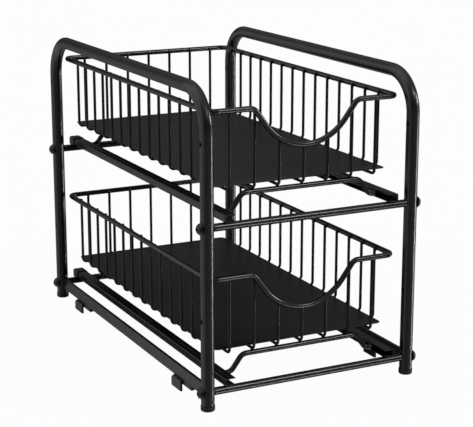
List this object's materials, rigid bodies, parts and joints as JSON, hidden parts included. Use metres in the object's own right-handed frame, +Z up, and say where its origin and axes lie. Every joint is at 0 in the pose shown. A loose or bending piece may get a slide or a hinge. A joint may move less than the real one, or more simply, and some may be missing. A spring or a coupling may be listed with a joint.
{
  "type": "two-tier pull-out cabinet basket",
  "caption": "Two-tier kitchen cabinet organiser: wire baskets with a dipped front rim slide forward on runners in C rails, between bent tube hoops on plastic feet.",
  "frame": {"origin": "on the floor, midway between the four feet, at the centre of the bottom of the bounding box", "axes": "+X to the right seen from the front, +Y towards the back, +Z up; the baskets pull out along -Y"},
  "size_m": [0.21, 0.3556, 0.2692],
  "materials": {
    "frame_coat": "satin black powder coat on bent steel tube, bar and strip",
    "rail_coat": "satin black powder coat on folded steel sheet",
    "wire_coat": "satin black powder coat on steel wire",
    "plate_coat": "smooth semi-gloss black coat on thin sheet",
    "bolt_black": "blackened steel",
    "black_plastic": "fine matt moulded plastic"
  },
  "bodies": {
    "frame": {"left_hoop": "frame_coat", "right_hoop": "frame_coat", "front_left_foot": "black_plastic", "front_right_foot": "black_plastic", "rear_left_foot": "black_plastic", "rear_right_foot": "black_plastic", "lower_front_crossbar": "frame_coat", "lower_rear_crossbar": "frame_coat", "upper_front_crossbar": "frame_coat", "upper_rear_crossbar": "frame_coat", "lower_bolts": "bolt_black", "upper_bolts": "bolt_black", "left_side_strip": "frame_coat", "right_side_strip": "frame_coat", "left_anchors": "frame_coat", "right_anchors": "frame_coat", "lower_left_rail": "rail_coat", "lower_right_rail": "rail_coat", "upper_left_rail": "rail_coat", "upper_right_rail": "rail_coat", "lower_rail_caps": "black_plastic", "upper_rail_caps": "black_plastic"},
    "lower_basket": {"lower_rim": "wire_coat", "lower_side_wires": "wire_coat", "lower_end_wires": "wire_coat", "lower_floor_plate": "plate_coat", "lower_front_support": "wire_coat", "lower_rear_support": "wire_coat", "lower_left_runner": "wire_coat", "lower_right_runner": "wire_coat"},
    "upper_basket": {"upper_rim": "wire_coat", "upper_side_wires": "wire_coat", "upper_end_wires": "wire_coat", "upper_floor_plate": "plate_coat", "upper_front_support": "wire_coat", "upper_rear_support": "wire_coat", "upper_left_runner": "wire_coat", "upper_right_runner": "wire_coat"}
  },
  "joints": [
    {"name": "lower_basket_slide", "type": "slide", "parent": "frame", "child": "lower_basket", "axis": [0, -1, 0], "range_m": [0, 0.23]},
    {"name": "upper_basket_slide", "type": "slide", "parent": "frame", "child": "upper_basket", "axis": [0, -1, 0], "range_m": [0, 0.23]}
  ]
}
